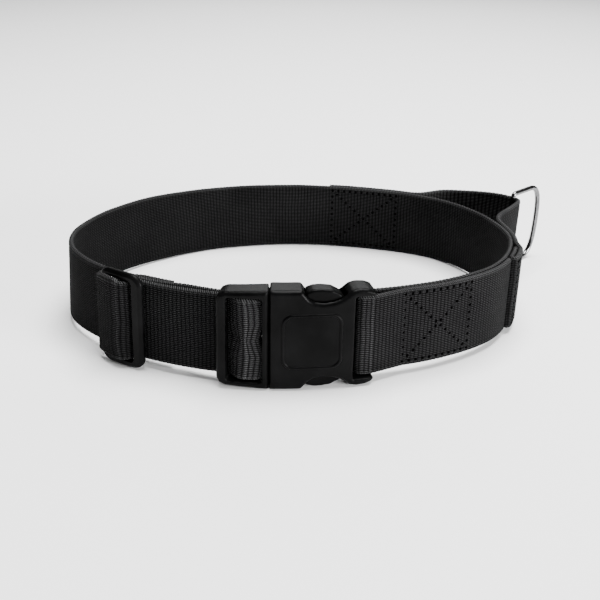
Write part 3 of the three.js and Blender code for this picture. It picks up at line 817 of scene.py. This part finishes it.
# How much of the shade is left where the noise is lowest, and what it adds at most.
FUZZ_LEAST, FUZZ_SPAN = 0.45, 0.9
PATCHY_LEAST, PATCHY_SPAN = 0.65, 0.7
FUZZ_HEIGHT = 0.3
SHADE_SPAN = 0.25  # brings the shade down to the ramp's span


def woven(name):
    """Black nylon webbing: ribs across it, rows of yarn beads on each rib, rope-like selvedges
    painted paler as painted light, and the strap's painted light and shade.
    """
    mat, nodes, links, shader = material(name)
    uv = nodes.new("ShaderNodeUVMap")
    uv.uv_map = "weave"
    split = nodes.new("ShaderNodeSeparateXYZ")
    links.new(uv.outputs["UV"], split.inputs["Vector"])
    u, v = split.outputs["X"], split.outputs["Y"]
    tau = 2 * math.pi

    def op(kind, a, b=None, c=None):
        return math_node(nodes, links, kind, a, b, c)

    def wave(value, pitch):
        return op("MULTIPLY_ADD", op("COSINE", op("MULTIPLY", value, tau / pitch)), 0.5, 0.5)

    wander = noise(nodes, links, scale=55, detail=2)
    u_bent = op("MULTIPLY_ADD", wander, WANDER_ALONG, u)
    v_bent = op("MULTIPLY_ADD", wander, WANDER_ACROSS, v)
    rib = op("POWER", wave(u_bent, RIB), RIB_POWER)
    bead = op("POWER", wave(v_bent, BEAD), BEAD_POWER)
    body = op("MULTIPLY", rib, op("MULTIPLY_ADD", bead, 1 - BEAD_LEAST, BEAD_LEAST))
    rope = wave(op("MULTIPLY_ADD", v_bent, ROPE_SLANT, u_bent), ROPE_PITCH)
    # The outline's coordinate runs from one edge's middle over a face to the other's, and back.
    across = op("PINGPONG", v, ROUND)
    from_edge = op("MINIMUM", across, op("SUBTRACT", ROUND, across))
    inward = op("SMOOTH_MIN", op("MULTIPLY", from_edge, 1 / EDGE), 1.0, SELVEDGE_EASE)
    near = op("SUBTRACT", 1.0, inward)
    height = op("ADD", op("MULTIPLY", body, op("SUBTRACT", 1.0, near)), op("MULTIPLY", rope, near))
    fuzz = noise(nodes, links, scale=2600, detail=2)
    patchy = noise(nodes, links, scale=45, detail=3)
    shade = op("MULTIPLY", height, op("MULTIPLY_ADD", fuzz, FUZZ_SPAN, FUZZ_LEAST))
    shade = op("MULTIPLY", shade, op("MULTIPLY_ADD", patchy, PATCHY_SPAN, PATCHY_LEAST))
    # Painted light and shade: the strap's attribute, and the paler selvedges.
    painted_light_attr = nodes.new("ShaderNodeAttribute")
    painted_light_attr.attribute_name = "painted_light_shade"
    painted_light_shade = op("MULTIPLY", painted_light_attr.outputs["Fac"], PAINTED_LIGHT_GAIN)
    pale = op("ADD", op("MULTIPLY", near, SELVEDGE_PAINTED_LIGHT), painted_light_shade)
    shade = op("MULTIPLY", op("MULTIPLY", shade, op("ADD", pale, 1.0)), SHADE_SPAN)
    colour = ramp(nodes, links, shade, DARK_YARN, PALE_YARN, low=0.01)
    links.new(colour, shader.inputs["Base Color"])
    roughened(nodes, links, shader, fuzz, least=0.7, span=0.2)
    shader.inputs["Specular IOR Level"].default_value = 0.03
    relief = op("ADD", height, op("MULTIPLY", fuzz, FUZZ_HEIGHT))
    bump(nodes, links, shader, relief, distance=0.0005, strength=1.0)
    return mat


PLASTIC_DARK = (0.0004, 0.0004, 0.0004)
PLASTIC_LIGHT = (0.0026, 0.0026, 0.0027)
# The steel's colour is kept well below real steel's: painted shade standing in for dark
# surroundings in its reflections.
STEEL_DARK = (0.1, 0.1, 0.102)
STEEL_LIGHT = (0.18, 0.18, 0.183)
THREAD_DARK = (0.002, 0.002, 0.0021)
THREAD_LIGHT = (0.012, 0.012, 0.0123)
# painted shade for the needle holes
HOLE_DARK = (0.0002, 0.0002, 0.0002)
HOLE_LIGHT = (0.001, 0.001, 0.001)


def moulded(name):
    """Black plastic with a fine grain."""
    mat, nodes, links, shader = material(name)
    grain = noise(nodes, links, scale=3200, detail=3)
    cloudy = noise(nodes, links, scale=60, detail=4)
    colour = ramp(nodes, links, cloudy, PLASTIC_DARK, PLASTIC_LIGHT, low=0.35, high=0.65)
    links.new(colour, shader.inputs["Base Color"])
    shader.inputs["Specular IOR Level"].default_value = 0.045
    roughened(nodes, links, shader, grain, least=0.24, span=0.16)
    bump(nodes, links, shader, grain, distance=0.0001, strength=0.5)
    return mat


def polished(name):
    """Steel darkened as painted shade in its reflections, with faint scuffs."""
    mat, nodes, links, shader = material(name)
    scuffs = noise(nodes, links, scale=700, detail=5)
    colour = ramp(nodes, links, scuffs, STEEL_DARK, STEEL_LIGHT, low=0.35, high=0.65)
    links.new(colour, shader.inputs["Base Color"])
    shader.inputs["Metallic"].default_value = 1
    roughened(nodes, links, shader, scuffs, least=0.12, span=0.14)
    bump(nodes, links, shader, scuffs, distance=0.00005, strength=0.4)
    return mat


def thread_look(name):
    """Black sewing thread, a little paler on its plies."""
    mat, nodes, links, shader = material(name)
    ply = noise(nodes, links, scale=2200, detail=2)
    colour = ramp(nodes, links, ply, THREAD_DARK, THREAD_LIGHT, low=0.3, high=0.7)
    links.new(colour, shader.inputs["Base Color"])
    shader.inputs["Roughness"].default_value = 0.6
    shader.inputs["Specular IOR Level"].default_value = 0.04
    bump(nodes, links, shader, ply, distance=0.0002, strength=0.7)
    return mat


def hole_shade_look(name):
    """Painted shade: the dark of a needle hole, on a disc standing in for the hole."""
    mat, nodes, links, shader = material(name)
    depth = noise(nodes, links, scale=1500, detail=2)
    links.new(ramp(nodes, links, depth, HOLE_DARK, HOLE_LIGHT), shader.inputs["Base Color"])
    shader.inputs["Roughness"].default_value = 1
    shader.inputs["Specular IOR Level"].default_value = 0.0
    return mat


NYLON = woven("black_nylon")
PLASTIC = moulded("black_plastic")
STEEL = polished("polished_steel")
THREAD_LOOK = thread_look("black_thread")
HOLE_SHADE = hole_shade_look("needle_hole_shade")


def dressed(obj, mat, body, slot, *nodes):
    """Gives a piece its material and its body, and hides the CAD nodes that it replaces; the slot
    is not used.
    """
    obj.data.materials.append(mat)
    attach(obj, body)
    if nodes:
        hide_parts(*nodes)


dressed(strap("main_webbing", main_pegs()), NYLON, "collar", "webbing", "main_strap")
dressed(strap("handle_webbing", handle_pegs(), True), NYLON, "collar", "webbing", "handle_strap")

FRONT_BOX = (52.3, 88)  # its ends along the loop
BACK_BOX = (BOW_END + 6.5, BOW_END + 47)
HEM_ROWS = (3.2, 6.4)  # from the hem's front end
MARGIN = 2.6  # from the webbing's edges to the stitches
HIGH_ROW = WEB_WIDTH - MARGIN
front = box_lines(*FRONT_BOX, MARGIN, HIGH_ROW)
back = box_lines(*BACK_BOX, MARGIN, HIGH_ROW)
hem_rows = [((HEM + away, MARGIN), (HEM + away, HIGH_ROW)) for away in HEM_ROWS]
groups = [
    (front, OUTER_FACE, False),
    (front, INNER_FACE, True),
    (back, OUTER_FACE, False),
    (back, INNER_FACE, True),
    (hem_rows, OUTER_FACE + PLY, False),
]
threads, holes = sewing("sewing", groups)
dressed(threads, THREAD_LOOK, "collar", "webbing")
dressed(holes, HOLE_SHADE, "collar", "webbing")

# The moulded pieces: CAD node, name, voxel in millimetres, smoothing passes.
MOULDINGS = (
    ("buckle_female", "socket_half", 0.42, 18),
    ("buckle_male", "prong_half", 0.42, 9),
    ("slide", "strap_slide", 0.35, 7),
)
for node, name, voxel, passes in MOULDINGS:
    dressed(rounded(node, name, voxel, passes), PLASTIC, "collar", "plastic", node)
dressed(panel_rim(), PLASTIC, "collar", "plastic")
dressed(ring_shape(), STEEL, "ring", "ring_metal", "d_ring")

# The floor, the light and the camera


FLOOR_SIZE = 12
FLOOR_DROP = 0.0002
FLOOR_GREY = 0.95
floor_mat, _, _, floor_shader = material("pale_floor")
floor_shader.inputs["Base Color"].default_value = (FLOOR_GREY, FLOOR_GREY, FLOOR_GREY, 1)
floor_shader.inputs["Roughness"].default_value = 0.9
bpy.ops.mesh.primitive_plane_add(size=FLOOR_SIZE, location=(0, 0, -FLOOR_DROP))
floor = bpy.context.object
floor.name = "floor"
floor.data.materials.append(floor_mat)

WORLD_STRENGTH = 0.12
world = bpy.data.worlds.new("studio")
world.use_nodes = True
sky = world.node_tree.nodes["Background"]
sky.inputs["Color"].default_value = (1, 1, 1, 1)
sky.inputs["Strength"].default_value = WORLD_STRENGTH
bpy.context.scene.world = world


# Name, place, aim and size in metres, and power in watts.
SOFTBOXES = (
    ("overhead", (0.15, 0.15, 1.4), (0, 0, 0), (0.9, 0.9), 66),
    ("right_side", (1.25, -0.75, 0.34), (0.08, -0.03, 0.02), (0.7, 0.3), 52),
    ("behind", (0.1, 1.5, 0.85), (0, 0, 0), (1.1, 0.5), 10),
)


def softbox(name, place, aim, size, power):
    lamp = bpy.data.lights.new(name, "AREA")
    lamp.shape = "RECTANGLE"
    lamp.size, lamp.size_y = size
    lamp.energy = power
    obj = bpy.data.objects.new(name, lamp)
    obj.location = place
    obj.rotation_euler = (Vector(aim) - Vector(place)).to_track_quat("-Z", "Y").to_euler()
    bpy.context.scene.collection.objects.link(obj)


for row in SOFTBOXES:
    softbox(*row)

CAMERA_PLACE = (4, -401.3, 203.5)  # in millimetres, from the loop's middle
CAMERA_PITCH = 26.56  # degrees
CAMERA_ROLL = 1.0
FOCAL_PIXELS = 815
PICTURE_PIXELS = 600
SENSOR = 36
CLIP_START = 0.01

lens = bpy.data.cameras.new("camera")
lens.sensor_width = SENSOR
lens.lens = FOCAL_PIXELS / PICTURE_PIXELS * SENSOR
lens.clip_start = CLIP_START
camera = bpy.data.objects.new("camera", lens)
x, y, z = CAMERA_PLACE
spin = Matrix.Rotation(math.radians(90 - CAMERA_PITCH), 4, "X")
roll = Matrix.Rotation(math.radians(CAMERA_ROLL), 4, "Z")
seat = Matrix.Translation(((x + SHIFT[0]) * MM, (y + SHIFT[1]) * MM, z * MM))
camera.matrix_world = seat @ spin @ roll
bpy.context.scene.collection.objects.link(camera)
bpy.context.scene.camera = camera
